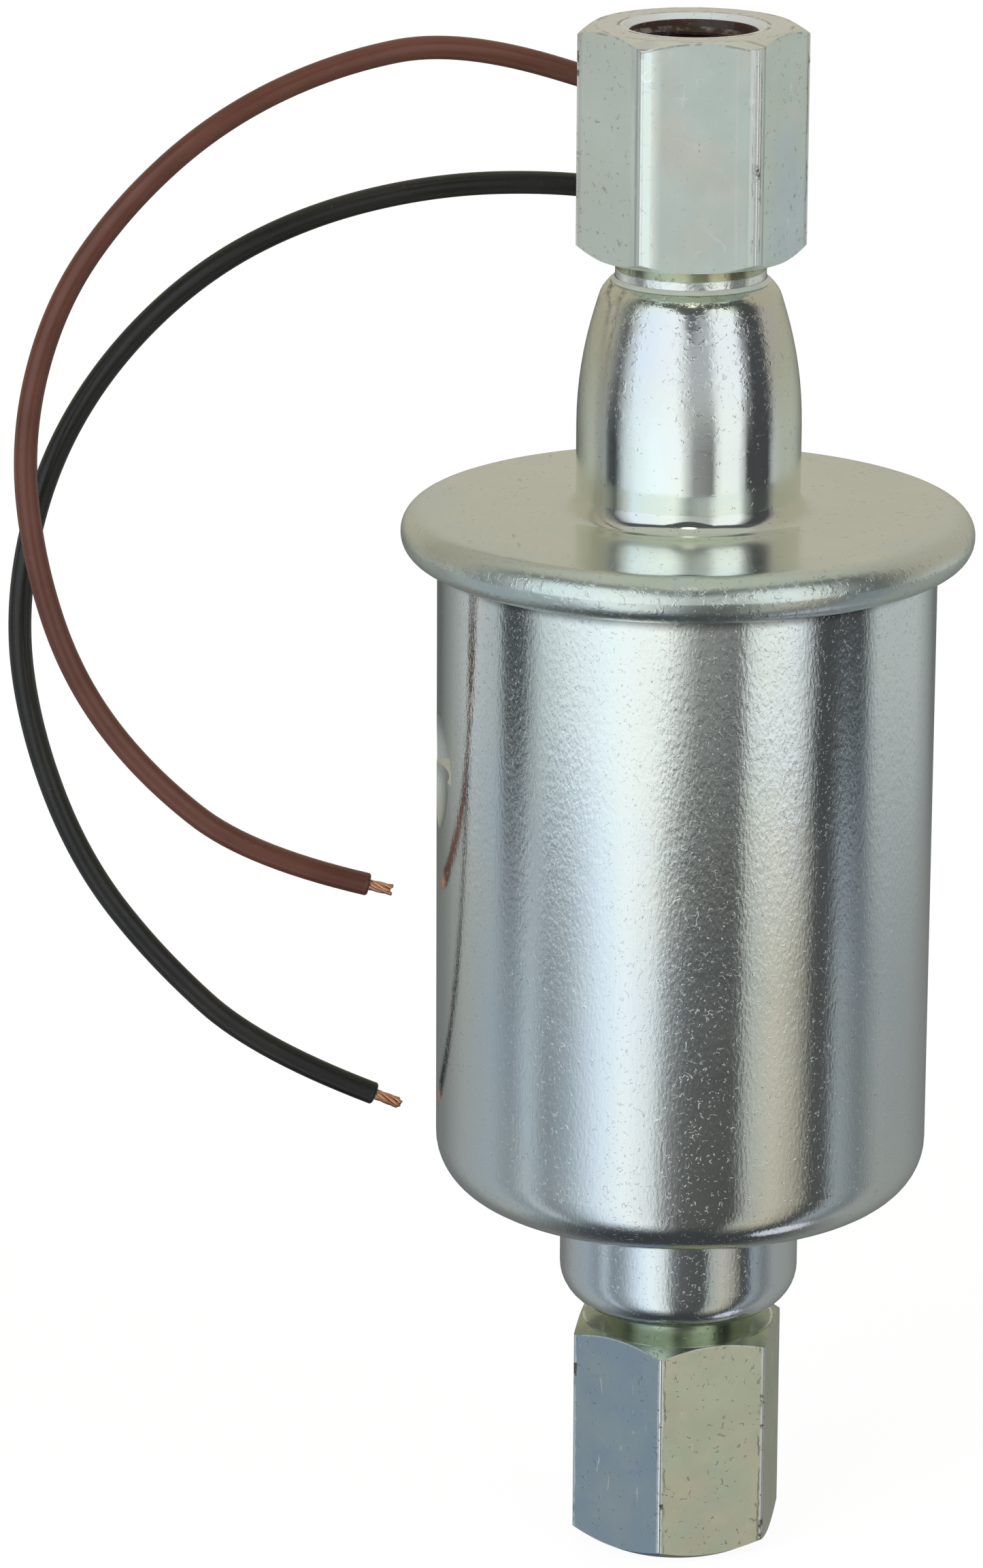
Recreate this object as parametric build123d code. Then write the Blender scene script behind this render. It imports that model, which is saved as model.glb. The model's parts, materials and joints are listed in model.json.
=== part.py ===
from build123d import *
import math
import os

# In-line electric fuel pump, reciprocating plunger type.
# The origin is the centre of the inlet end face, +Z runs up the pump to the outlet.
# Sizes are millimetres, angles are degrees.
os.makedirs("parts", exist_ok=True)

# Clearances
slip = 0.05            # radial gap of pieces that are pushed together by hand
running = 0.05         # radial gap of pieces that slide or turn
seat_gap = 0.05        # axial gap between a moving piece and what it rests on

# Can
can_radius = 26.0
can_sheet = 1.2
can_wall_height = 70.4
can_bottom_round = 5.9
neck_radius = 12.7
neck_length = 13.2
neck_round = 4.3
neck_fillet = 1.5
flange_width = 1.3
flange_fillet = 0.6
dimple_rise = 45.4
dimple_depth = 1.0
dimple_ball_radius = 12.0
dimple_ledge_rise = 1.2
dimple_ledge_depth = 0.7
dimple_direction = 188.6

# Cover, rolled round the can's flange
cover_sheet = 1.2
gasket_thickness = 1.4
gasket_width = 2.3
rim_edge_flat = 0.1
dome_radius = 11.65
dome_height = 24.2
dome_foot_fillet = 2.0
dome_waist_height = 15.1
dome_side_blend = 0.74     # share of the tapered side that its curve takes up
dome_shoulder_step = 0.95
dome_shoulder_drop = 1.1
dome_shoulder_round = 3.0
dome_lip_width = 0.5
dome_lip_round = 0.4
least_bend = 0.05
sheet_overrun = 1.0        # how far sheet is drawn past the hole that is then cut in it

# Fittings
hex_flats = 20.64
hex_edge_round = 0.35
hex_chamfer_angle = 30.0
outlet_hex_turn = 2.0
outlet_hex_length = 23.6
outlet_collar_length = 2.7
outlet_spigot_length = 12.0
inlet_hex_turn = 20.0
inlet_hex_length = 24.5
inlet_end_face_radius = 9.2
inlet_collar_length = 1.9
inlet_spigot_length = 12.0
collar_step = 0.4
spigot_wall = 0.55
port_radius = 6.6
port_depth = 15.0
port_mouth_chamfer = 0.6
drill_point_slope = 0.6
passage_radius = 4.0
socket_depth = 8.0
seal_section = 1.3
seal_height = 1.6
seal_round = 0.45
seal_from_socket_end = 2.0
braze_leg = 0.4

# Plunger tube and what runs in it
tube_radius = 5.5
tube_wall = 0.5
tube_end_play = 0.4
plunger_length = 40.0
plunger_stroke = 8.0
plunger_bore_radius = 2.4
plunger_chamfer = 0.3
plunger_seat_radius = 3.9
plunger_seat_thickness = 2.0
plunger_seat_bore = 2.0
plunger_disc_radius = 3.0
plunger_disc_thickness = 0.9
plunger_disc_lift = 1.2
plunger_cage_radius = 4.6
plunger_cage_wall = 0.65
cage_plate = 0.8
cage_hole_radius = 0.75
cage_hole_count = 6
bumper_thickness = 2.0
bumper_bore_radius = 2.6
stop_ring_thickness = 1.5
inlet_seat_thickness = 3.0
inlet_seat_bore = 2.6
inlet_disc_radius = 3.6
inlet_disc_thickness = 1.0
inlet_cage_height = 7.0
inlet_cage_wall = 0.65
return_spring_radius = 3.9
return_spring_wire = 0.8
return_spring_turns = 7
return_spring_closed = 13.6
valve_spring_radius = 1.8
valve_spring_wire = 0.35
valve_spring_turns = 5
screen_length = 9.0
screen_wall = 0.3
screen_rim_thickness = 0.8
screen_hole_radius = 0.55
screen_hole_rows = 4
screen_hole_count = 8

# Coil and its flux path
pole_washer_thickness = 2.0
coil_length = 42.0
bobbin_wall = 1.0
bobbin_flange = 1.5
wrap_thickness = 0.4
yoke_wall = 1.9
yoke_gap = 0.9
yoke_corner_gap = 0.1

# Contact breaker, on top of the coil
base_thickness = 2.5
base_setback = 0.5
retainer_thickness = 0.8
retainer_radius = 8.0
retainer_slot_width = 0.8
retainer_slot_depth = 1.25
retainer_slot_count = 6
rocker_pivot_rise = 5.7
rocker_pin_radius = 0.6
rocker_pin_overhang = 0.4
rocker_thickness = 1.0
rocker_width = 4.0
rocker_inner_reach = 5.0
rocker_outer_reach = 6.2
rocker_plate_rise = 1.0
rocker_ear_thickness = 0.6
rocker_ear_radius = 1.5
bracket_ear_thickness = 0.8
bracket_ear_gap = 0.3
bracket_plate = 0.8
bracket_half_length = 2.4
magnet_gap = 1.5
magnet_length = 3.0
magnet_height = 3.2
contact_radius = 1.2
contact_thickness = 0.8
post_radius = 0.9
suppressor_inset = 6.5
suppressor_radius = 2.2
suppressor_length = 9.0
suppressor_edge = 0.4
suppressor_leg_radius = 0.35
suppressor_leg_reach = 2.0
terminal_inset = 4.5
terminal_width = 2.4
terminal_thickness = 0.8
terminal_over_lead = 0.5

# Leads
lead_diameter = 2.45
lead_spread = 4.0
lead_rise = 2.7
grommet_wall = 1.05
grommet_lip = 1.3
grommet_head = 2.0
grommet_tail = 1.6
strand_radius = 0.58
brown_bare_length = 2.8
black_bare_length = 3.3

# Heights that follow from the sizes above
z_neck = inlet_hex_length + inlet_collar_length
z_can = z_neck + neck_length
z_floor = z_can + can_sheet
z_flange = z_can + can_wall_height
z_gasket = z_flange + can_sheet
z_cover_under = z_gasket + gasket_thickness
z_cover_top = z_cover_under + cover_sheet
z_curl = z_flange - cover_sheet
z_lip = z_cover_top + dome_height
z_outlet_hex = z_lip + outlet_collar_length
z_top = z_outlet_hex + outlet_hex_length
z_tube_bottom = z_neck + inlet_spigot_length - socket_depth
z_socket_end = z_lip - outlet_spigot_length + socket_depth
z_coil = z_floor + pole_washer_thickness
z_coil_top = z_coil + coil_length
z_winding = z_coil + bobbin_flange + slip
z_winding_top = z_coil_top - bobbin_flange - slip
z_base = z_coil_top + pole_washer_thickness
z_base_top = z_base + base_thickness
z_inlet_seat_top = z_tube_bottom + inlet_seat_thickness
z_inlet_cage_top = z_inlet_seat_top + inlet_cage_height
z_inlet_cage_plate = z_inlet_cage_top - cage_plate
z_plunger = z_inlet_cage_top + plunger_stroke + return_spring_closed
z_plunger_top = z_plunger + plunger_length
z_plunger_disc = z_plunger_top + seat_gap
z_plunger_cage_plate = z_plunger_disc + plunger_disc_thickness + plunger_disc_lift + seat_gap
z_plunger_cage_top = z_plunger_cage_plate + cage_plate
z_bumper = z_plunger_cage_top + 2 * seat_gap
z_stop_ring = z_bumper + bumper_thickness
z_pivot = z_base_top + rocker_pivot_rise
z_rocker = z_pivot + rocker_plate_rise
z_contact_face = z_rocker - contact_thickness - seat_gap
z_lead = z_base_top + lead_rise

# Radii and places across the pump that follow from the sizes above
can_inner_radius = can_radius - can_sheet
flange_radius = can_radius + flange_width
rim_half_height = (2 * cover_sheet + gasket_thickness + can_sheet) / 2
rim_radius = flange_radius + rim_half_height
rim_round = rim_half_height - rim_edge_flat / 2
tube_inner_radius = tube_radius - tube_wall
fixed_in_tube_radius = tube_inner_radius - slip
round_tube_radius = tube_radius + slip
plunger_radius = tube_inner_radius - running
seal_groove_radius = round_tube_radius + seal_section
spigot_radius = seal_groove_radius + spigot_wall
collar_radius = spigot_radius + collar_step
spigot_hole_radius = spigot_radius + slip
screen_radius = passage_radius - 2 * slip
yoke_radius = can_radius - can_bottom_round - yoke_corner_gap
yoke_inner_radius = yoke_radius - yoke_wall
wrap_radius = yoke_inner_radius - yoke_gap
winding_radius = wrap_radius - wrap_thickness
base_radius = yoke_radius - base_setback
pivot_x = tube_radius + magnet_gap + rocker_inner_reach
contact_x = pivot_x + rocker_outer_reach - contact_radius
rocker_half_width = rocker_width / 2
bracket_ear_inner = rocker_half_width + bracket_ear_gap
bracket_ear_outer = bracket_ear_inner + bracket_ear_thickness
terminal_y = base_radius - terminal_inset
lead_x = lead_spread / 2
lead_exit_y = can_radius + grommet_head
grommet_neck_radius = lead_x + lead_diameter / 2 + grommet_wall
grommet_lip_radius = grommet_neck_radius + grommet_lip


def ring(outer, inner, low, high):
    """Round ring or tube between two heights, or a plain disc where inner is 0."""
    body = Pos(0, 0, low) * Cylinder(outer, high - low, align=(Align.CENTER, Align.CENTER, Align.MIN))
    if inner > 0:
        body -= Pos(0, 0, low) * Cylinder(inner, high - low, align=(Align.CENTER, Align.CENTER, Align.MIN))
    return body


def block(x0, x1, y0, y1, z0, z1):
    """Rectangular block between two corners."""
    return Pos((x0 + x1) / 2, (y0 + y1) / 2, (z0 + z1) / 2) * Box(x1 - x0, y1 - y0, z1 - z0)


def rod_along_y(x, y0, y1, z, radius):
    """Round rod along Y."""
    return Pos(x, (y0 + y1) / 2, z) * Rot(90, 0, 0) * Cylinder(radius, y1 - y0)


def around_z(shape, count, start=0.0):
    """The same shape repeated round the axis."""
    return [Rot(0, 0, start + i * 360.0 / count) * shape for i in range(count)]


def revolved(corners):
    """Solid of revolution of a closed outline, whose corners are (radius, height, bend radius)."""
    points = [(r, 0, z) for r, z, bend in corners]
    bends = [bend for r, z, bend in corners]
    if not any(bends):
        return revolve(Face(Wire.make_polygon(points, close=True)), Axis.Z)
    edge = FilletPolyline(*points, radius=bends, close=True)
    return revolve(Face(Wire(edge.edges())), Axis.Z)


def inner_side(outline, thickness):
    """Corners of the inner side of a sheet, whose outer side runs with the metal on its left."""
    along = [Vector(b[0] - a[0], b[1] - a[1]).normalized() for a, b in zip(outline, outline[1:])]
    left = [Vector(-d.Y, d.X) for d in along]
    corners = []
    for i, (r, z, bend) in enumerate(outline):
        before = left[max(i - 1, 0)]
        after = left[min(i, len(left) - 1)]
        shift = (before + after) * (thickness / (1 + before.dot(after)))
        turns_left = before.cross(after).Z > 0
        inner_bend = max(bend - thickness, least_bend) if turns_left else bend + thickness
        corners.append((r + shift.X, z + shift.Y, inner_bend if bend else 0))
    return corners


def pressed_sheet(outline, thickness):
    """Revolved sheet of even thickness, from the (radius, height, bend radius) corners of its outer side."""
    return revolved(outline + inner_side(outline, thickness)[::-1])


def hexagon(low, high, turn, low_face_radius, high_face_radius):
    """Hex bar with softened edges and both ends chamfered to a round face."""
    flat_radius = hex_flats / 2
    section = RegularPolygon(flat_radius, 6, major_radius=False, rotation=turn)
    bar = Pos(0, 0, low) * extrude(fillet(section.vertices(), hex_edge_round), high - low)
    reach = hex_flats
    slope = math.tan(math.radians(hex_chamfer_angle))
    low_rise = (reach - low_face_radius) * slope
    high_drop = (reach - high_face_radius) * slope
    envelope = revolved([(0, low, 0), (low_face_radius, low, 0), (reach, low + low_rise, 0),
                         (reach, high - high_drop, 0), (high_face_radius, high, 0), (0, high, 0)])
    return bar & envelope


def helix_spring(radius, wire, low, high, turns):
    """Compression spring, wound at an even pitch between two heights."""
    rise = high - low - wire
    path = Pos(0, 0, low + wire / 2) * Helix(rise / turns, rise, radius)
    section = Plane(origin=path @ 0, z_dir=path % 0) * Circle(wire / 2)
    return sweep(section, path=path)


def corner_radii(points):
    """Radius of the arc at each inner point: 0.45 of the shorter run over the tangent of half the turn."""
    radii = []
    for a, b, c in zip(points, points[1:], points[2:]):
        first = Vector(*b) - Vector(*a)
        second = Vector(*c) - Vector(*b)
        half_turn = math.radians(first.get_angle(second)) / 2
        radii.append(0.45 * min(first.length, second.length) / math.tan(half_turn))
    return radii


def tube_along(points, diameter, name):
    """Round cord along straight runs joined by tangent arcs. It prints its radii and checks its volume."""
    radii = corner_radii(points)
    path = FilletPolyline(*points, radius=radii)
    section = Plane(origin=path @ 0, z_dir=path % 0) * Circle(diameter / 2)
    tube = sweep(section, path=path)
    expected = math.pi * diameter ** 2 / 4 * path.length
    print(name, "length", round(path.length, 1), "radii", [round(r, 1) for r in radii])
    print(name, "volume over section times length", round(tube.volume / expected, 4))
    return tube


def dimple_ball(rise, depth, radius):
    """Ball that presses the dimple into the can's side."""
    distance = can_radius - depth + dimple_ball_radius
    return Rot(0, 0, dimple_direction) * Pos(distance, 0, z_can + dimple_rise + rise) * Sphere(radius)


def make_can_shell():
    """Drawn can: neck, round lower corner, straight wall and flange, with a dimple and the lead hole."""
    outline = [(spigot_radius - sheet_overrun, z_neck, 0), (neck_radius, z_neck, neck_round),
               (neck_radius, z_can, neck_fillet), (can_radius, z_can, can_bottom_round),
               (can_radius, z_flange, flange_fillet), (flange_radius, z_flange, 0)]
    shell = pressed_sheet(outline, can_sheet)
    wall_space = ring(can_inner_radius + slip, 0, z_floor, z_flange)
    shell += dimple_ball(0, dimple_depth, dimple_ball_radius + can_sheet) & wall_space
    shell -= dimple_ball(0, dimple_depth, dimple_ball_radius)
    above_ledge = ring(can_radius + dimple_depth, 0, z_can + dimple_rise + dimple_ledge_rise, z_flange)
    shell -= dimple_ball(dimple_ledge_rise, dimple_depth + dimple_ledge_depth, dimple_ball_radius) & above_ledge
    shell -= ring(spigot_hole_radius, 0, z_neck - can_sheet, z_floor)
    return shell - rod_along_y(0, 0, lead_exit_y, z_lead, grommet_neck_radius + slip)


def make_top_cover():
    """Drawn cover: rolled rim, flat flange and a bullet-shaped dome with a flat lip."""
    lip_radius = collar_radius + dome_lip_width
    shoulder_radius = lip_radius + dome_shoulder_step
    side_rise = dome_height - dome_shoulder_drop - dome_waist_height
    side_run = dome_radius - shoulder_radius
    side_turn = math.atan2(side_run, side_rise)
    side_round = dome_side_blend * math.hypot(side_rise, side_run) / math.tan(side_turn / 2)
    outline = [(can_radius + flange_fillet, z_curl, 0), (rim_radius, z_curl, rim_round),
               (rim_radius, z_cover_top, rim_round), (dome_radius, z_cover_top, dome_foot_fillet),
               (dome_radius, z_cover_top + dome_waist_height, side_round),
               (shoulder_radius, z_lip - dome_shoulder_drop, dome_shoulder_round),
               (lip_radius, z_lip, dome_lip_round), (spigot_radius - sheet_overrun, z_lip, 0)]
    cover = pressed_sheet(outline, cover_sheet)
    return cover - ring(spigot_hole_radius, 0, z_lip - 2 * cover_sheet, z_lip)


def port_bore(mouth, inward):
    """Pipe port from its mouth inward (+1 is up): countersunk mouth, threaded bore and drill point."""
    point_depth = port_depth + (port_radius - passage_radius) * drill_point_slope
    profile = [(0, 0), (port_radius + port_mouth_chamfer, 0), (port_radius, port_mouth_chamfer),
               (port_radius, port_depth), (passage_radius, point_depth), (0, point_depth)]
    return revolved([(r, mouth + inward * z, 0) for r, z in profile])


def seal_groove(low):
    """Groove for an O-ring in a fitting's socket, with its seat gaps."""
    return ring(seal_groove_radius, 0, low - slip, low + seal_height + slip)


def make_inlet_fitting():
    """Lower fitting: chamfered hex, collar, spigot in the can's neck, port, passage and tube socket."""
    spigot_top = z_neck + inlet_spigot_length
    body = hexagon(0, inlet_hex_length, inlet_hex_turn, inlet_end_face_radius, hex_flats / 2)
    body += ring(collar_radius, 0, inlet_hex_length, z_neck)
    body += ring(spigot_radius, 0, z_neck, spigot_top)
    body -= port_bore(0, 1)
    body -= ring(passage_radius, 0, port_depth, z_tube_bottom)
    body -= ring(round_tube_radius, 0, z_tube_bottom, spigot_top)
    return body - seal_groove(z_tube_bottom + seal_from_socket_end)


def make_outlet_fitting():
    """Upper fitting, the same way up from the dome's lip."""
    spigot_bottom = z_lip - outlet_spigot_length
    body = hexagon(z_outlet_hex, z_top, outlet_hex_turn, hex_flats / 2, hex_flats / 2)
    body += ring(collar_radius, 0, z_lip, z_outlet_hex)
    body += ring(spigot_radius, 0, spigot_bottom, z_lip)
    body -= port_bore(z_top, -1)
    body -= ring(passage_radius, 0, z_socket_end, z_top - port_depth)
    body -= ring(round_tube_radius, 0, spigot_bottom, z_socket_end)
    return body - seal_groove(z_socket_end - seal_from_socket_end - seal_height)


def make_braze(seat, side):
    """Small fillet of braze between a collar and the sheet that it stands on."""
    foot = collar_radius + slip
    return revolved([(foot, seat, 0), (foot + braze_leg, seat, 0), (foot, seat + side * braze_leg, 0)])


def make_seal(low):
    """O-ring, squashed between the tube and its groove."""
    outer = seal_groove_radius - slip
    inner = round_tube_radius
    high = low + seal_height
    return revolved([(inner, low, seal_round), (outer, low, seal_round),
                     (outer, high, seal_round), (inner, high, seal_round)])


def make_bobbin():
    """Coil former: a thin tube with a flange at each end."""
    body = ring(round_tube_radius + bobbin_wall, round_tube_radius, z_coil, z_coil_top)
    body += ring(wrap_radius, round_tube_radius, z_coil, z_coil + bobbin_flange)
    return body + ring(wrap_radius, round_tube_radius, z_coil_top - bobbin_flange, z_coil_top)


def make_plunger():
    """Plunger with a bore for the fuel and a recess for its valve seat."""
    body = ring(plunger_radius, plunger_bore_radius, z_plunger, z_plunger_top)
    body -= ring(plunger_seat_radius + slip, 0, z_plunger_top - plunger_seat_thickness, z_plunger_top)
    edges = body.edges().filter_by(GeomType.CIRCLE).group_by(SortBy.RADIUS)[-1]
    return chamfer(edges, plunger_chamfer)


def valve_cage(outer, wall, low, plate, hole_circle):
    """Cup over a valve disc, with a ring of flow holes through its plate."""
    body = ring(outer, outer - wall, low, plate) + ring(outer, 0, plate, plate + cage_plate)
    hole = Pos(hole_circle, 0, 0) * ring(cage_hole_radius, 0, plate, plate + cage_plate)
    for copy in around_z(hole, cage_hole_count):
        body -= copy
    return body


def make_inlet_screen():
    """Strainer cup in the inlet passage, with rows of small holes."""
    high = z_tube_bottom - seat_gap
    low = high - screen_length
    body = ring(screen_radius, screen_radius - screen_wall, low, high)
    body += ring(screen_radius, 0, low, low + screen_rim_thickness)
    pitch = (screen_length - 2 * screen_rim_thickness) / screen_hole_rows
    for row in range(screen_hole_rows):
        height = low + screen_rim_thickness + (row + 0.5) * pitch
        hole = rod_along_y(0, 0, screen_radius + screen_wall, height, screen_hole_radius)
        for copy in around_z(hole, screen_hole_count, row * 180.0 / screen_hole_count):
            body -= copy
    return body


def make_base_retainer():
    """Push-on ring that grips the tube with short tongues and holds the coil stack down."""
    high = z_base_top + retainer_thickness
    body = ring(retainer_radius, round_tube_radius, z_base_top, high)
    half = retainer_slot_width / 2
    slot = block(tube_inner_radius, round_tube_radius + retainer_slot_depth, -half, half, z_base_top, high)
    for copy in around_z(slot, retainer_slot_count):
        body -= copy
    return body


def make_breaker_bracket():
    """U-shaped bracket with two ears for the rocker's pin, trimmed round the retainer."""
    x0 = pivot_x - bracket_half_length
    x1 = pivot_x + bracket_half_length
    body = block(x0, x1, -bracket_ear_outer, bracket_ear_outer, z_base_top, z_base_top + bracket_plate)
    ear = block(x0, x1, bracket_ear_inner, bracket_ear_outer, z_base_top, z_pivot + rocker_ear_radius)
    body += ear
    body += mirror(ear, Plane.XZ)
    body -= rod_along_y(pivot_x, -bracket_ear_outer, bracket_ear_outer, z_pivot, rocker_pin_radius + slip)
    return body - ring(retainer_radius + 2 * slip, 0, z_base_top, z_base_top + retainer_thickness + slip)


def make_rocker_pin():
    """Pin through both ears of the bracket."""
    tip = bracket_ear_outer + rocker_pin_overhang
    return rod_along_y(pivot_x, -tip, tip, z_pivot, rocker_pin_radius)


def make_rocker_arm():
    """Rocking plate with two small ears round the pin."""
    inner = rocker_half_width - rocker_ear_thickness
    body = block(pivot_x - rocker_inner_reach, pivot_x + rocker_outer_reach, -rocker_half_width, rocker_half_width,
                 z_rocker, z_rocker + rocker_thickness)
    ear = rod_along_y(pivot_x, inner, rocker_half_width, z_pivot, rocker_ear_radius)
    ear += block(pivot_x - rocker_ear_radius, pivot_x + rocker_ear_radius, inner, rocker_half_width,
                 z_pivot, z_rocker + rocker_thickness / 2)
    body += ear
    body += mirror(ear, Plane.XZ)
    return body - rod_along_y(pivot_x, -rocker_half_width, rocker_half_width, z_pivot, rocker_pin_radius + running)


def make_rocker_magnet():
    """Magnet under the rocker's inner end, beside the plunger tube."""
    x0 = pivot_x - rocker_inner_reach
    return block(x0, x0 + magnet_length, -rocker_half_width, rocker_half_width, z_rocker - magnet_height, z_rocker)


def make_fixed_contact():
    """Contact on a riveted post, under the rocker's outer end."""
    post_top = z_contact_face - contact_thickness
    body = ring(post_radius, 0, z_base_top, post_top) + ring(contact_radius, 0, post_top, z_contact_face)
    return Pos(contact_x, 0, 0) * (body + ring(contact_radius, 0, z_base_top, z_base_top + contact_thickness))


def make_arc_suppressor():
    """Small capacitor lying on the base, with its two legs bent down."""
    x = suppressor_inset - base_radius
    z = z_base_top + suppressor_radius
    half = suppressor_length / 2
    tip = half + suppressor_leg_reach
    body = rod_along_y(x, -half, half, z, suppressor_radius)
    body = chamfer(body.edges().filter_by(GeomType.CIRCLE), suppressor_edge)
    body += rod_along_y(x, -tip, tip, z, suppressor_leg_radius)
    for side in (-1, 1):
        body += Pos(x, side * (tip - suppressor_leg_radius), 0) * ring(suppressor_leg_radius, 0, z_base_top, z)
    return body


def make_terminal(side):
    """Upright blade on the base, which the inner end of a lead is joined to."""
    x = side * lead_x
    top = z_lead + lead_diameter / 2 + terminal_over_lead
    return block(x - terminal_width / 2, x + terminal_width / 2, terminal_y - terminal_thickness, terminal_y,
                 z_base_top, top)


def make_lead_grommet():
    """Rubber grommet: a neck in the can's hole, a head outside, a tail inside and two lead holes."""
    tail_y = can_inner_radius - grommet_tail
    low = z_lead - 2 * grommet_lip_radius
    high = z_lead + 2 * grommet_lip_radius
    head = rod_along_y(0, can_inner_radius, lead_exit_y, z_lead, grommet_lip_radius) - ring(can_radius, 0, low, high)
    tail = rod_along_y(0, tail_y, can_radius, z_lead, grommet_lip_radius) & ring(can_inner_radius, 0, low, high)
    body = rod_along_y(0, tail_y, lead_exit_y, z_lead, grommet_neck_radius) + head + tail
    for side in (-1, 1):
        body -= rod_along_y(side * lead_x, tail_y, lead_exit_y, z_lead, lead_diameter / 2 + slip)
    return body


def make_inner_lead(side):
    """Stretch of a lead inside the can, from its terminal to the grommet's outer face."""
    return rod_along_y(side * lead_x, terminal_y, lead_exit_y, z_lead, lead_diameter / 2)


def make_strands(points, length):
    """Bared copper end, in line with the last run of its lead."""
    end = Vector(*points[-1])
    direction = (end - Vector(*points[-2])).normalized()
    bundle = Cylinder(strand_radius, length, align=(Align.CENTER, Align.CENTER, Align.MIN))
    return Plane(origin=end, z_dir=direction) * bundle


# Routes of the leads: out of the grommet, up behind the dome and the outlet hex, then round to the left
# and down in a wide arc, as the stiff leads hold their set
brown_route = [(lead_x, lead_exit_y, z_lead), (lead_x, 38.0, z_lead), (2.5, 46.5, 98.5), (3.5, 49.5, 108.5),
               (4.5, 46.5, 119.0), (5.5, 40.0, 129.5), (6.5, 32.0, 139.5), (5.0, 25.0, 148.5),
               (-4.0, 18.5, 153.5), (-24.0, 15.5, 160.0), (-37.0, 11.5, 158.0), (-49.0, 8.5, 152.5),
               (-59.0, 7.0, 143.5), (-66.0, 7.0, 133.0), (-69.5, 7.0, 119.5), (-68.5, 7.0, 106.0),
               (-64.5, 7.0, 93.0), (-57.0, 7.0, 82.5), (-46.0, 7.0, 73.5), (-33.5, 7.0, 70.5)]
black_route = [(-lead_x, lead_exit_y, z_lead), (-lead_x, 38.0, z_lead), (-1.5, 46.0, 98.5), (-0.5, 48.5, 108.0),
               (0.5, 45.5, 117.5), (2.0, 39.5, 126.5), (3.0, 31.5, 134.5), (-2.5, 24.5, 141.5),
               (-13.0, 20.5, 144.0), (-26.5, 18.5, 144.0), (-40.0, 16.5, 141.0), (-51.5, 15.0, 135.0),
               (-61.5, 14.0, 125.0), (-68.0, 14.0, 113.0), (-71.0, 14.0, 98.5), (-69.5, 14.0, 85.0),
               (-64.5, 14.0, 71.0), (-56.5, 14.0, 60.0), (-45.5, 14.0, 49.5), (-33.0, 14.0, 44.5)]

z_inlet_disc = z_inlet_seat_top + seat_gap
z_inlet_disc_top = z_inlet_disc + inlet_disc_thickness

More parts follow.
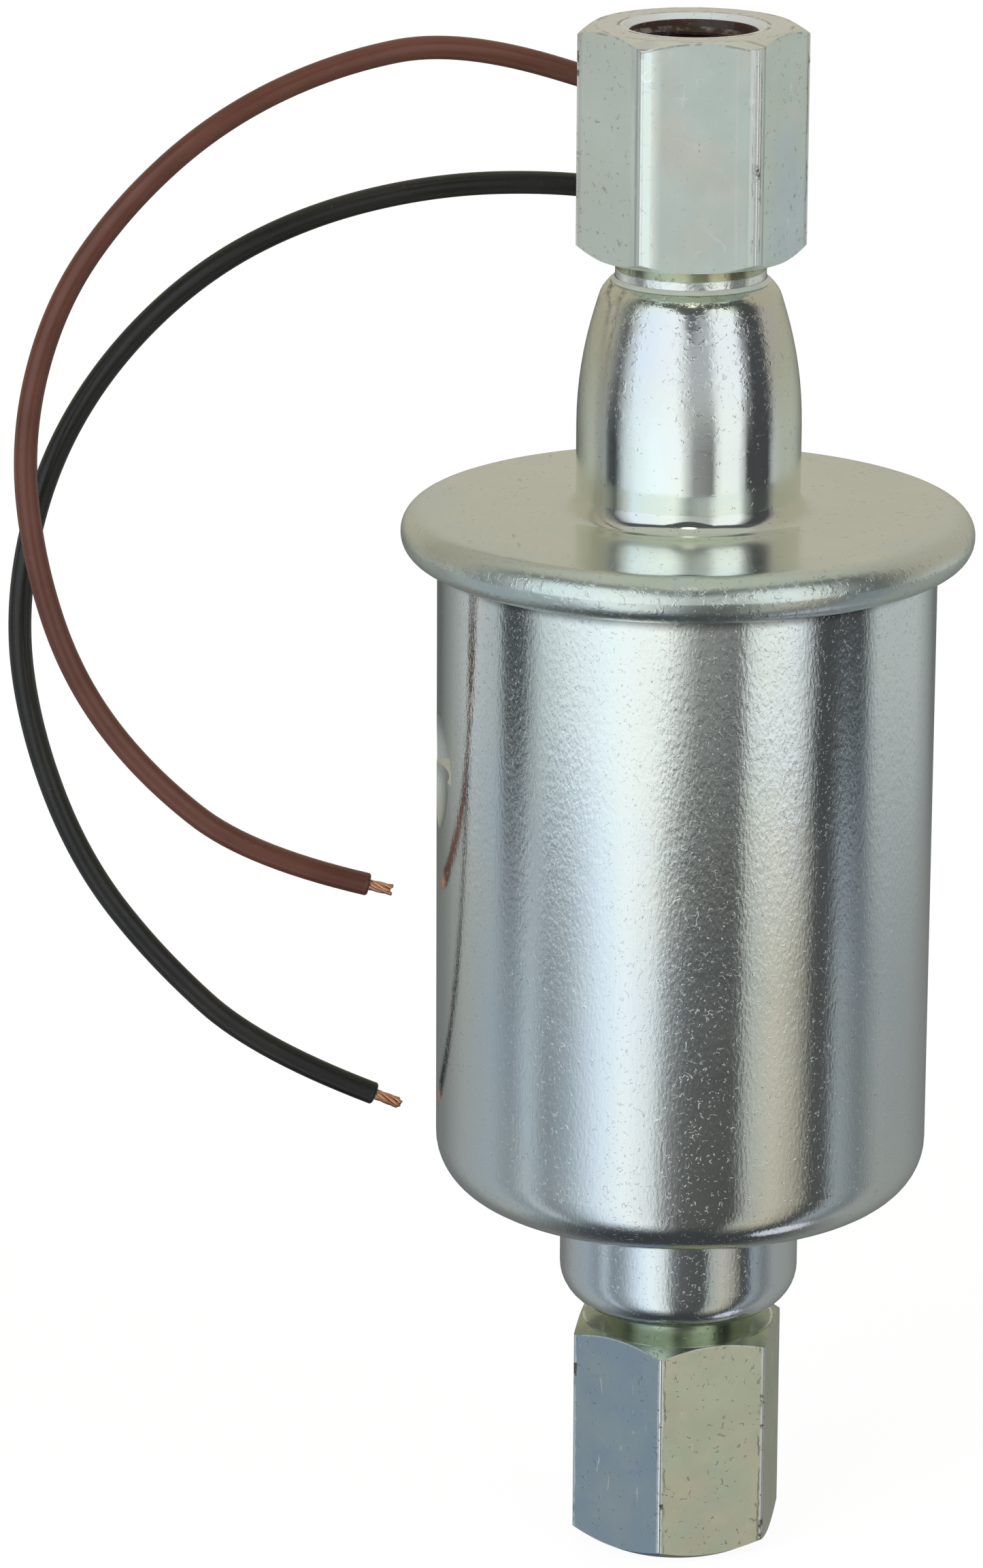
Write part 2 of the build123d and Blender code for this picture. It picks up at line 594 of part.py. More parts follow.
parts = {
    "can_shell": make_can_shell(),
    "top_cover": make_top_cover(),
    "rim_gasket": ring(flange_radius, flange_radius - gasket_width, z_gasket, z_cover_under),
    "inlet_fitting": make_inlet_fitting(),
    "outlet_fitting": make_outlet_fitting(),
    "inlet_braze": make_braze(z_neck, -1),
    "outlet_braze": make_braze(z_lip, 1),
    "plunger_tube": ring(tube_radius, tube_inner_radius, z_tube_bottom, z_socket_end - tube_end_play),
    "lower_tube_seal": make_seal(z_tube_bottom + seal_from_socket_end),
    "upper_tube_seal": make_seal(z_socket_end - seal_from_socket_end - seal_height),
    "coil_bobbin": make_bobbin(),
    "coil_winding": ring(winding_radius, round_tube_radius + bobbin_wall + slip, z_winding, z_winding_top),
    "coil_wrap": ring(wrap_radius, winding_radius + slip, z_winding, z_winding_top),
    "yoke_sleeve": ring(yoke_radius, yoke_inner_radius, z_coil, z_coil_top),
    "lower_pole_washer": ring(yoke_radius, round_tube_radius, z_floor, z_coil),
    "upper_pole_washer": ring(yoke_radius, round_tube_radius, z_coil_top, z_base),
    "plunger": make_plunger(),
    "plunger_valve_seat": ring(plunger_seat_radius, plunger_seat_bore, z_plunger_top - plunger_seat_thickness,
                               z_plunger_top),
    "plunger_valve_disc": ring(plunger_disc_radius, 0, z_plunger_disc, z_plunger_disc + plunger_disc_thickness),
    "plunger_valve_cage": valve_cage(plunger_cage_radius, plunger_cage_wall, z_plunger_top, z_plunger_cage_plate,
                                     plunger_disc_radius - cage_hole_radius / 2),
    "return_spring": helix_spring(return_spring_radius, return_spring_wire, z_inlet_cage_top + seat_gap,
                                  z_plunger - seat_gap, return_spring_turns),
    "bumper_ring": ring(fixed_in_tube_radius, bumper_bore_radius, z_bumper, z_stop_ring),
    "stop_ring": ring(fixed_in_tube_radius, bumper_bore_radius, z_stop_ring, z_stop_ring + stop_ring_thickness),
    "inlet_valve_seat": ring(fixed_in_tube_radius, inlet_seat_bore, z_tube_bottom, z_inlet_seat_top),
    "inlet_valve_disc": ring(inlet_disc_radius, 0, z_inlet_disc, z_inlet_disc_top),
    "inlet_valve_cage": valve_cage(fixed_in_tube_radius, inlet_cage_wall, z_inlet_seat_top, z_inlet_cage_plate,
                                   valve_spring_radius + 2 * cage_hole_radius),
    "inlet_valve_spring": helix_spring(valve_spring_radius, valve_spring_wire, z_inlet_disc_top + seat_gap,
                                       z_inlet_cage_plate - seat_gap, valve_spring_turns),
    "inlet_screen": make_inlet_screen(),
    "breaker_base": ring(base_radius, round_tube_radius, z_base, z_base_top),
    "base_retainer": make_base_retainer(),
    "breaker_bracket": make_breaker_bracket(),
    "rocker_pin": make_rocker_pin(),
    "rocker_arm": make_rocker_arm(),
    "rocker_magnet": make_rocker_magnet(),
    "moving_contact": Pos(contact_x, 0, 0) * ring(contact_radius, 0, z_rocker - contact_thickness, z_rocker),
    "fixed_contact": make_fixed_contact(),
    "arc_suppressor": make_arc_suppressor(),
    "brown_terminal": make_terminal(1),
    "black_terminal": make_terminal(-1),
    "lead_grommet": make_lead_grommet(),
    "brown_inner_lead": make_inner_lead(1),
    "black_inner_lead": make_inner_lead(-1),
    "lead_brown": tube_along(brown_route, lead_diameter, "lead_brown"),
    "lead_black": tube_along(black_route, lead_diameter, "lead_black"),
    "brown_strands": make_strands(brown_route, brown_bare_length),
    "black_strands": make_strands(black_route, black_bare_length),
}

for name, solid in parts.items():
    export_step(solid, f"parts/{name}.step")

print("overall height", round(z_top, 2), "rim diameter", round(2 * rim_radius, 2))
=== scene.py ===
import json
import math

import bmesh
import bpy
from mathutils import Matrix, Vector


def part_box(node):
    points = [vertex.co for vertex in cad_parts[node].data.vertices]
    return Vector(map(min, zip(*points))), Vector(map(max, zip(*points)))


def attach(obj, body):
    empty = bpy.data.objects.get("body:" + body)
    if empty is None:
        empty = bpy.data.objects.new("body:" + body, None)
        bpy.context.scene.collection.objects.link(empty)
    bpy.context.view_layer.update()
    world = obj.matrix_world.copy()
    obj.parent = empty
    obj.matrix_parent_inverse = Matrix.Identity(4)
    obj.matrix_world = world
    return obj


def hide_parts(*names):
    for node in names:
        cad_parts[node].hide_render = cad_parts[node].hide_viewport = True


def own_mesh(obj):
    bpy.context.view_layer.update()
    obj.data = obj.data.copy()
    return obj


# Looks of the in-line fuel pump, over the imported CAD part. Metres, +Z up, the inlet's end face at z = 0.
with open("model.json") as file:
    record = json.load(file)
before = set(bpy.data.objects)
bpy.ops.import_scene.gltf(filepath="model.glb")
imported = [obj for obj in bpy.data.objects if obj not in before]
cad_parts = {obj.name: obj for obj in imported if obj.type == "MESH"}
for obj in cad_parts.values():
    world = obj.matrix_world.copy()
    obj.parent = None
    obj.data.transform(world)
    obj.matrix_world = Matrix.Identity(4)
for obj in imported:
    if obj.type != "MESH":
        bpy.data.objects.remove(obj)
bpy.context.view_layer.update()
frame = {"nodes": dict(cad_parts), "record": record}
nodes = frame["nodes"]
scene = bpy.context.scene
MM = 0.001

# Sizes of the CAD part that the finishes follow
rim_bottom, flange_top, dome_top = 108.8 * MM, 113.8 * MM, 138.0 * MM
outlet_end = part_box("outlet_fitting")[1].z
lower_hex_top = 24.5 * MM
hex_flat_radius, chamfer_angle = 10.32 * MM, math.radians(30.0)


def make_camera():
    """Camera at the photograph's angle, from the fit of the pump's outlines to it."""
    tilt, roll = math.radians(16.586), math.radians(0.245)
    target, distance = Vector((-20.239, 0, 83.774)) * MM, 699.2 * MM
    focal_pixels, frame_height, sensor_width = 9793.0, 2306.0, 36.0
    back = Vector((0, -math.cos(tilt), math.sin(tilt)))
    right, up = Vector((1, 0, 0)), Vector((0, math.sin(tilt), math.cos(tilt)))
    across = right * math.cos(roll) + up * math.sin(roll)
    above = back.cross(across)
    data = bpy.data.cameras.new("camera")
    data.sensor_width, data.lens = sensor_width, focal_pixels / frame_height * sensor_width
    data.clip_start, data.clip_end = 0.01, 20.0
    camera = bpy.data.objects.new("camera", data)
    scene.collection.objects.link(camera)
    place = Matrix((across, above, back)).transposed().to_4x4()
    place.translation = target + back * distance
    camera.matrix_world = place
    scene.camera = camera


make_camera()


class Nodes:
    """A node tree, with short calls that add nodes to it and give back their outputs."""

    def __init__(self, tree):
        self.tree = tree
        self.tree.nodes.clear()

    def feed(self, socket, value):
        if isinstance(value, bpy.types.NodeSocket):
            self.tree.links.new(value, socket)
        elif isinstance(value, (tuple, list)) and len(socket.default_value) == 4:
            socket.default_value = (*value[:3], 1)
        else:
            socket.default_value = value

    def add(self, kind, inputs=(), out=0, **settings):
        node = self.tree.nodes.new("ShaderNode" + kind)
        for name, value in settings.items():
            setattr(node, name, value)
        for name, value in dict(inputs).items():
            self.feed(node.inputs[name], value)
        return node.outputs[out] if len(node.outputs) else None

    def axes(self, vector):
        node = self.tree.nodes.new("ShaderNodeSeparateXYZ")
        self.tree.links.new(vector, node.inputs[0])
        return node.outputs

    def math(self, operation, a, b=0.0):
        return self.add("Math", {0: a, 1: b}, operation=operation)

    def times(self, product, *factors):
        """Product of masks and numbers."""
        for factor in factors:
            product = self.math("MULTIPLY", product, factor)
        return product

    def spread(self, value, low, high, to_low=0.0, to_high=1.0):
        """Smooth step: to_low where the value is at low, to_high where it is at high."""
        return self.add("MapRange", {"Value": value, "From Min": low, "From Max": high,
                                     "To Min": to_low, "To Max": to_high}, interpolation_type="SMOOTHSTEP")

    def blend(self, amount, a, b):
        """Colour from a to b."""
        return self.add("Mix", {0: amount, 6: a, 7: b}, out=2, data_type="RGBA")

    def paint(self, base, colour, *masks):
        """The base with a colour over it, as strong as the product of the masks and numbers."""
        return self.blend(self.times(*masks), base, colour)

    def mixed(self, amount, a, b):
        """Number from a to b."""
        return self.add("Mix", {0: amount, 2: a, 3: b}, data_type="FLOAT")


class Look(Nodes):
    """One procedural material: a Principled shader, and the patterns that feed it."""

    def __init__(self, name, **values):
        self.material = bpy.data.materials.new(name)
        self.material.use_nodes = True
        super().__init__(self.material.node_tree)
        self.shader = self.tree.nodes.new("ShaderNodeBsdfPrincipled")
        self.add("OutputMaterial", {"Surface": self.shader.outputs[0]})
        self.space = self.add("TexCoord", out="Object")
        self.set(**values)

    def set(self, **values):
        for name, value in values.items():
            self.feed(self.shader.inputs[name.replace("_", " ")], value)

    def stretched(self, scale, turn=(0, 0, 0)):
        return self.add("Mapping", {"Vector": self.space, "Scale": scale, "Rotation": turn})

    def noise(self, scale, detail=2.0, rough=0.5, distort=0.0, at=None):
        return self.add("TexNoise", {"Vector": at or self.space, "Scale": scale, "Detail": detail,
                                     "Roughness": rough, "Distortion": distort})

    def grain(self, scales, detail=2.0, rough=0.5, distort=0.0, turn=(0, 0, 0)):
        """Noise with a scale of its own along each axis."""
        return self.noise(1.0, detail, rough, distort, self.stretched(scales, turn))

    def patches(self, low, high, scale, detail=3.0, rough=0.6, distort=0.0):
        """Cloudy mask: 0 where a noise is below low, 1 where it is above high."""
        return self.spread(self.noise(scale, detail, rough, distort), low, high)

    def squiggles(self, scale, width, share):
        """Short curled marks: broken contour lines of a noise, 1 on a mark and 0 off it."""
        line = self.math("ABSOLUTE", self.math("SUBTRACT", self.noise(scale, 1.0, 0.5, 0.6), 0.5))
        broken = self.patches(0.62 - share, 0.66 - share, scale * 1.7, 2.0)
        return self.times(self.spread(line, width, width * 0.3), broken)

    def bump(self, height, distance, under=None):
        inputs = {"Height": height, "Distance": distance, "Strength": 1.0}
        if under is not None:
            inputs["Normal"] = under
        return self.add("Bump", inputs)

    def radius(self, x, y):
        """Distance from the pump's axis."""
        return self.math("SQRT", self.math("ADD", self.times(x, x), self.times(y, y)))


def can_look():
    """Bright zinc plating: faint tints, peel in the reflections, curled marks and painted shade under the
    rim.
    """
    look = Look("can_zinc", Metallic=1.0)
    z = look.axes(look.space)[2]
    tint = look.spread(look.grain((45, 45, 18), 3.0, 0.55, 0.3), 0.35, 0.65)
    base = look.blend(tint, (0.84, 0.89, 0.93), (0.90, 0.92, 0.87))
    nicks = look.squiggles(1350.0, 0.05, 0.01)
    base = look.paint(base, (0.50, 0.52, 0.54), nicks, 0.05)
    # Painted shade: the wall darkens just under the rolled rim, with a ragged edge.
    ragged_height = look.math("ADD", z, look.times(look.noise(160.0, 3.0, 0.6), 0.8 * MM))
    shade_under_rim = look.spread(ragged_height, rim_bottom - 1.1 * MM, rim_bottom + 0.1 * MM)
    base = look.paint(base, (0.16, 0.16, 0.16), shade_under_rim, 0.85)
    lower = look.spread(z, 100 * MM, 45 * MM)
    rough = look.spread(look.noise(110.0, 3.0, 0.5), 0.3, 0.7, 0.08, 0.11)
    rough = look.math("ADD", rough, look.times(lower, 0.02))
    strokes = look.squiggles(800.0, 0.022, 0.035)
    strokes = look.times(strokes, look.spread(lower, 0.0, 1.0, 0.3, 1.0))
    normal = look.bump(look.noise(560.0, 1.0, 0.4), 0.005 * MM)
    normal = look.bump(look.grain((3400, 3400, 1400)), 0.012 * MM, normal)
    normal = look.bump(strokes, 0.014 * MM, normal)
    normal = look.bump(nicks, 0.012 * MM, normal)
    look.set(Base_Color=base, Roughness=rough, Normal=normal)
    return look.material


def cover_look():
    """Bright zinc plating on the drawn cover: satin flange, smooth dome and peened rim."""
    look = Look("cover_zinc", Metallic=1.0)
    x, y, z = look.axes(look.space)
    radius = look.radius(x, y)
    above_flange = look.spread(z, flange_top, flange_top + 0.5 * MM)
    dome = look.times(above_flange, look.spread(radius, 14.2 * MM, 13.2 * MM))
    rim = look.spread(radius, 27.6 * MM, 28.8 * MM)
    # The dome's front sides: a mask for their painted reflection tint and their higher roughness.
    sides = look.spread(look.math("ABSOLUTE", x), 7.8 * MM, 9.6 * MM)
    sides = look.times(sides, look.spread(y, 3 * MM, -3 * MM), dome)
    nicks = look.squiggles(800.0, 0.035, 0.01)

    # Colour: the flange with its cooler edge and marks, the dome with its yellower top and a painted yellow
    # reflection on its front sides, the rim
    tint = look.patches(0.35, 0.65, 55.0, 3.0, 0.55, 0.4)
    flat = look.blend(tint, (0.93, 0.96, 0.89), (0.88, 0.95, 0.88))
    edge = look.times(look.spread(radius, 22.5 * MM, 26.2 * MM), look.patches(0.42, 0.60, 85.0, 4.0))
    flat = look.paint(flat, (0.80, 0.91, 0.90), edge, 0.55)
    marks = look.spread(look.grain((700, 110, 300), distort=0.9, turn=(0.0, 0.0, 0.6)), 0.70, 0.74)
    marks = look.times(marks, look.spread(radius, 15.0 * MM, 16.5 * MM))
    flat = look.paint(flat, (0.52, 0.52, 0.44), marks, 0.45)
    shiny = look.blend(tint, (0.88, 0.90, 0.94), (0.91, 0.94, 0.88))
    # Painted reflection: the dome's front sides are tinted yellow-green.
    shiny = look.paint(shiny, (0.86, 0.90, 0.74), sides, 0.8)
    top = look.spread(z, dome_top - 2.5 * MM, dome_top - 0.8 * MM, 0.0, 0.6)
    shiny = look.paint(shiny, (0.90, 0.92, 0.74), top)
    base = look.blend(dome, flat, shiny)
    base = look.paint(base, look.blend(tint, (0.82, 0.91, 0.90), (0.88, 0.93, 0.86)), rim)
    base = look.paint(base, (0.30, 0.27, 0.24), nicks, 0.3)

    # Roughness and relief
    haze = look.spread(look.noise(140.0, 4.0, 0.6), 0.3, 0.7, 0.0, 0.05)
    shell = look.spread(z, flange_top + 2.2 * MM, dome_top - 4.0 * MM, 0.06, 0.11)
    shell = look.math("ADD", shell, look.times(sides, 0.16))
    rough = look.mixed(rim, look.mixed(dome, 0.175, shell), 0.27)
    rough = look.math("ADD", rough, haze)
    rubbed = look.spread(z, flange_top + 4.2 * MM, dome_top - 4.0 * MM, 0.0, 0.7)
    pits = look.times(look.patches(0.50, 0.72, 1300.0), look.math("MAXIMUM", rim, rubbed))
    normal = look.bump(look.noise(300.0), 0.02 * MM)
    normal = look.bump(pits, 0.026 * MM, normal)
    normal = look.bump(look.times(look.grain((700, 700, 12)), dome), 0.005 * MM, normal)
    normal = look.bump(nicks, 0.01 * MM, normal)
    look.set(Base_Color=base, Roughness=rough, Normal=normal)
    return look.material


class FittingMasks:
    """Masks of the forms on the two fittings, 1 on a form and 0 off it, and the places they come from."""

    def __init__(self, look):
        x, y, z = look.axes(look.space)
        self.x, self.z, self.radius = x, z, look.radius(x, y)
        self.low = look.spread(z, 60 * MM, 50 * MM)
        self.high = look.spread(z, 130 * MM, 138 * MM)
        self.front = look.times(look.spread(y, -8.8 * MM, -9.2 * MM), self.high)
        # Sides of the lower hex for painted reflection tones: yellow towards the right, darker slate towards
        # the left.
        self.yellow = look.times(self.low, look.spread(x, -2.2 * MM, -1.4 * MM))
        self.slate = look.times(self.low, look.spread(x, -1.4 * MM, -2.2 * MM))
        self.add_chamfers(look)
        self.add_port(look)
        self.add_collar(look)
        self.add_wear(look)

    def add_chamfers(self, look):
        """Each hex's chamfer, and a line just under its edge: arris on the upper hex, lip on the lower."""
        slope = math.tan(chamfer_angle)
        rise = look.math("ADD", self.z, look.times(self.radius, slope))
        upper_edge = outlet_end + hex_flat_radius * slope
        lower_edge = lower_hex_top + hex_flat_radius * slope
        self.upper_cone = look.spread(rise, upper_edge - 0.09 * MM, upper_edge - 0.03 * MM)
        upper_line = look.spread(rise, upper_edge - 0.34 * MM, upper_edge - 0.16 * MM)
        self.arris = look.math("SUBTRACT", upper_line, self.upper_cone)
        cone = look.spread(rise, lower_edge - 0.09 * MM, lower_edge - 0.03 * MM)
        lower_line = look.spread(rise, lower_edge - 0.26 * MM, lower_edge - 0.14 * MM)
        self.lip = look.times(look.math("SUBTRACT", lower_line, cone), self.low)
        ledge = look.spread(self.z, lower_hex_top - 0.15 * MM, lower_hex_top - 0.05 * MM)
        self.lower_cone = look.times(look.math("MAXIMUM", cone, ledge), self.low)

    def add_port(self, look):
        """The outlet's mouth and the brim round it, and the bores of both ports."""
        near_end = look.spread(self.z, outlet_end - 4.3 * MM, outlet_end - 3.8 * MM)
        self.mouth = look.times(look.spread(self.radius, 7.65 * MM, 7.15 * MM), near_end)
        self.brim = look.times(look.spread(self.radius, 7.50 * MM, 7.62 * MM),
                               look.spread(self.radius, 7.92 * MM, 7.80 * MM), near_end)
        outlet, inlet = look.spread(self.z, 130 * MM, 131 * MM), look.spread(self.z, 20 * MM, 19 * MM)
        self.bore = look.times(look.spread(self.radius, 6.68 * MM, 6.62 * MM),
                               look.math("MAXIMUM", outlet, inlet))

    def add_collar(self, look):
        """The outlet's collar: bright in its lower half, with an olive groove above."""
        middle = dome_top + 1.15 * MM
        self.collar = look.times(look.spread(self.z, middle + 0.15 * MM, middle),
                                 look.spread(self.z, dome_top - 1.0 * MM, dome_top - 0.2 * MM))
        self.groove = look.times(look.spread(self.z, middle, middle + 0.15 * MM),
                                 look.spread(self.radius, 8.3 * MM, 8.0 * MM),
                                 look.spread(self.z, 144 * MM, 142 * MM))

    def add_wear(self, look):
        """Worn corners, the bright left part of the front facet, and nicks that are fainter on the front."""
        ragged = look.noise(650.0, 3.0, 0.65)
        self.corner = look.math("ADD", self.radius, look.times(ragged, 0.3 * MM))
        self.worn = look.times(look.spread(self.corner, 11.86 * MM, 11.92 * MM),
                               look.patches(0.32, 0.42, 300.0))
        ragged_x = look.math("ADD", self.x, look.times(ragged, 1.2 * MM))
        self.facet = look.times(look.spread(ragged_x, -3.0 * MM, -4.2 * MM), self.front)
        self.nicks = look.times(look.squiggles(800.0, 0.035, 0.03),
                                look.spread(self.front, 0.0, 1.0, 1.0, 0.25))


def fitting_plating_and_painted_light(look, on, mottle):
    """Satin zinc in its tints, with painted reflection tones on the lower hex (darker slate at its left,
    yellow at its right) and painted light on the upper hex's left side.
    """
    cloud = look.patches(0.35, 0.68, 70.0, 4.0, 0.6, 0.5)
    base = look.blend(cloud, (0.81, 0.92, 0.86), (0.91, 0.90, 0.81))
    blue = look.spread(look.noise(60.0), 0.48, 0.68, 0.0, 0.7)
    base = look.paint(base, (0.73, 0.86, 0.94), blue)
    # Painted reflection: the lower hex is tinted yellow at its right and darker slate at its left.
    base = look.paint(base, look.blend(mottle, (0.76, 0.80, 0.60), (0.84, 0.80, 0.60)), on.yellow, 0.85)
    base = look.paint(base, look.blend(mottle, (0.46, 0.56, 0.66), (0.52, 0.60, 0.64)), on.slate, 0.9)
    # Painted light: the upper hex's left side is made lighter.
    left_side_light = look.times(look.spread(on.x, -5.8 * MM, -6.8 * MM), on.high)
    base = look.paint(base, (0.92, 1.0, 0.92), left_side_light, 0.8)
    base = look.paint(base, (0.94, 0.93, 0.84), on.upper_cone, 0.8)
    end_face = look.spread(on.z, outlet_end - 0.10 * MM, outlet_end - 0.02 * MM)
    return look.paint(base, (0.94, 0.94, 0.88), end_face)


def fitting_wear_and_painted_shade(look, on, base):
    """Bright and chipped corners, painted shade beside the corners, a bright facet, draw lines and
    scratches.
    """
    base = look.paint(base, (0.96, 0.97, 0.97), on.worn)
    chips = look.times(look.spread(on.corner, 11.82 * MM, 11.88 * MM), look.patches(0.60, 0.66, 520.0))
    base = look.paint(base, (0.20, 0.18, 0.15), chips)
    # Painted shade: a broken dark line along each side of the worn corners, on the right-hand faces.
    corner_shade_line = look.times(look.spread(on.corner, 11.74 * MM, 11.78 * MM),
                       look.spread(on.corner, 11.86 * MM, 11.82 * MM), look.patches(0.46, 0.54, 180.0),
                       look.math("MAXIMUM", on.yellow, look.spread(on.x, 5.4 * MM, 6.0 * MM)))
    base = look.paint(base, (0.22, 0.22, 0.19), corner_shade_line, 0.7)
    base = look.paint(base, (0.84, 0.89, 0.83), on.facet, 0.8)
    stripes = look.spread(look.grain((1600, 300, 14)), 0.50, 0.62)
    stripes = look.times(stripes, look.spread(on.x, 3.4 * MM, 4.2 * MM), on.front)
    base = look.paint(base, (0.95, 0.96, 0.94), stripes, 0.7)
    scratches = look.spread(look.grain((2200, 400, 240), distort=0.8, turn=(0.0, 0.5, 0.0)), 0.70, 0.74)
    scrapes = look.times(look.squiggles(240.0, 0.012, 0.06), on.front)
    return look.paint(base, (0.99, 0.99, 0.97), look.math("MAXIMUM", scratches, scrapes), 0.85)


def fitting_stains_and_painted_reflection(look, on, mottle, base):
    """Olive groove, painted olive reflection on the lower hex's chamfer, rusty bores, chipped brim, nicks,
    specks, and bright mouth and collar.
    """
    base = look.paint(base, look.blend(mottle, (0.50, 0.54, 0.40), (0.46, 0.42, 0.24)), on.groove)
    # Painted reflection: the lower hex's chamfer and ledge are tinted olive, as if reflecting the neck.
    base = look.paint(base, look.blend(mottle, (0.42, 0.48, 0.38), (0.54, 0.61, 0.45)), on.lower_cone)
    broken = look.noise(420.0, 4.0, 0.65)
    base = look.paint(base, (0.34, 0.33, 0.27), on.arris, look.spread(broken, 0.46, 0.56), 0.6)
    base = look.paint(base, (0.97, 0.98, 0.97), on.lip, look.spread(broken, 0.42, 0.52), 0.8)
    base = look.paint(base, (0.92, 0.95, 0.96), on.mouth)
    base = look.paint(base, (0.26, 0.24, 0.19), on.brim, look.patches(0.47, 0.56, 480.0, 4.0, 0.65), 0.7)
    rust = look.blend(look.patches(0.4, 0.6, 300.0), (0.16, 0.14, 0.13), (0.13, 0.07, 0.055))
    base = look.paint(base, rust, on.bore)
    base = look.paint(base, (0.30, 0.30, 0.27), on.nicks, 0.5)
    specks = look.patches(0.745, 0.77, 1300.0, 2.0, 0.5)
    base = look.paint(base, (0.32, 0.26, 0.20), specks, 0.6)
    return look.paint(base, (0.95, 0.96, 0.92), on.collar)


def fitting_roughness(look, on):
    bright = look.math("MAXIMUM", on.worn, look.math("MAXIMUM", on.facet, on.mouth))
    olive = look.math("MAXIMUM", on.groove, on.lower_cone)
    rough = look.spread(look.noise(260.0, 4.0, 0.65), 0.3, 0.7, 0.34, 0.44)
    for mask, value in ((bright, 0.22), (olive, 0.13), (on.lower_cone, 0.22), (on.collar, 0.14)):
        rough = look.mixed(mask, rough, value)
    return rough


def fitting_relief(look, on):
    """Rounded corners and a facet that falls off, then brush lines, a peened collar, peel and nicks."""
    rolled = look.math("MAXIMUM", look.spread(on.radius, 11.4 * MM, 11.8 * MM, 1.0, 0.0), on.low)
    fall = look.times(look.spread(on.x, -6.0 * MM, -3.4 * MM), on.front)
    peened = look.times(look.noise(900.0, 3.0, 0.6), on.collar)
    normal = look.bump(rolled, 0.12 * MM)
    normal = look.bump(fall, 0.24 * MM, normal)
    normal = look.bump(look.grain((900, 900, 40), 3.0, 0.6), 0.01 * MM, normal)
    normal = look.bump(peened, 0.08 * MM, normal)
    normal = look.bump(look.noise(300.0, 3.0, 0.6), 0.02 * MM, normal)
    return look.bump(on.nicks, 0.02 * MM, normal)


def fitting_look():
    """Satin zinc plating on the turned hexes: worn corners, nicks, olive groove and rusty bores."""
    look = Look("fitting_zinc")
    on = FittingMasks(look)
    mottle = look.patches(0.38, 0.64, 190.0)
    base = fitting_plating_and_painted_light(look, on, mottle)
    base = fitting_wear_and_painted_shade(look, on, base)
    base = fitting_stains_and_painted_reflection(look, on, mottle, base)
    metallic = look.spread(on.low, 0.0, 1.0, 0.76, 1.0)
    metallic = look.math("SUBTRACT", metallic, look.times(on.mouth, 0.35))
    look.set(Base_Color=base, Metallic=metallic)
    look.set(Roughness=fitting_roughness(look, on), Normal=fitting_relief(look, on))
    return look.material


def thread_look():
    """Rusty steel of the wound threads."""
    look = Look("thread_steel", Metallic=1.0)
    rust = look.patches(0.40, 0.60, 420.0, 4.0, 0.65)
    look.set(Base_Color=look.blend(rust, (0.34, 0.34, 0.33), (0.15, 0.09, 0.075)))
    look.set(Roughness=look.spread(rust, 0.0, 1.0, 0.30, 0.55))
    look.set(Normal=look.bump(look.noise(1500.0, 3.0), 0.02 * MM))
    return look.material


def metal(name, dark, light, rough, scales=(300, 300, 300), depth=0.01 * MM, metallic=1.0):
    """Plain machined metal with a grain along its stretched axis and slow tarnish."""
    look = Look(name, Metallic=metallic)
    tarnish = look.patches(0.35, 0.65, 120.0, 4.0, 0.6, 0.3)
    cut = look.grain(scales, 3.0, 0.6)
    look.set(Base_Color=look.blend(tarnish, dark, light))
    look.set(Roughness=look.spread(cut, 0.3, 0.7, rough, rough + 0.14), Normal=look.bump(cut, depth))
    return look.material


def plastic(name, dark, light, rough, depth=0.01 * MM, scale=900.0, specular=0.5):
    """Moulded plastic or rubber: slow colour drift, fine grain and dull patches."""
    look = Look(name, Specular_IOR_Level=specular)
    cloud = look.noise(140.0, 4.0, 0.6)
    look.set(Base_Color=look.blend(look.spread(cloud, 0.35, 0.65), dark, light))
    look.set(Roughness=look.spread(cloud, 0.3, 0.7, rough, rough + 0.12))
    look.set(Normal=look.bump(look.noise(scale, 3.0, 0.6), depth))
    return look.material


def insulation(name, dark, light, rough):
    """Extruded PVC: semi-matt, with faint dust and scuffs."""
    look = Look(name, Specular_IOR_Level=0.6)
    base = look.blend(look.patches(0.35, 0.65, 90.0, 4.0), dark, light)
    dust = look.patches(0.68, 0.76, 2600.0, 2.0)
    scuff = look.noise(420.0, 4.0, 0.65)
    look.set(Base_Color=look.paint(base, (0.42, 0.38, 0.34), dust, 0.12))
    look.set(Roughness=look.spread(scuff, 0.3, 0.7, rough, rough + 0.08))
    look.set(Normal=look.bump(look.noise(1500.0, 3.0, 0.6), 0.012 * MM))
    return look.material


def wound_copper():
    """Turns of enamelled wire, laid side by side, with painted shade between the turns."""
    look = Look("coil_wire", Metallic=1.0)
    turns = look.add("TexWave", {"Vector": look.space, "Scale": 420.0, "Distortion": 0.3, "Detail": 1.0},
                     out=1, wave_type="BANDS", bands_direction="Z")
    cloud = look.noise(200.0, 3.0, 0.6)
    base = look.blend(look.spread(cloud, 0.35, 0.65), (0.52, 0.20, 0.09), (0.66, 0.30, 0.14))
    # Painted shade: the copper darkens between the turns of wire.
    look.set(Base_Color=look.blend(look.times(turns, 0.5), (0.20, 0.07, 0.03), base))
    look.set(Roughness=look.spread(cloud, 0.3, 0.7, 0.22, 0.36), Normal=look.bump(turns, 0.12 * MM))
    return look.material


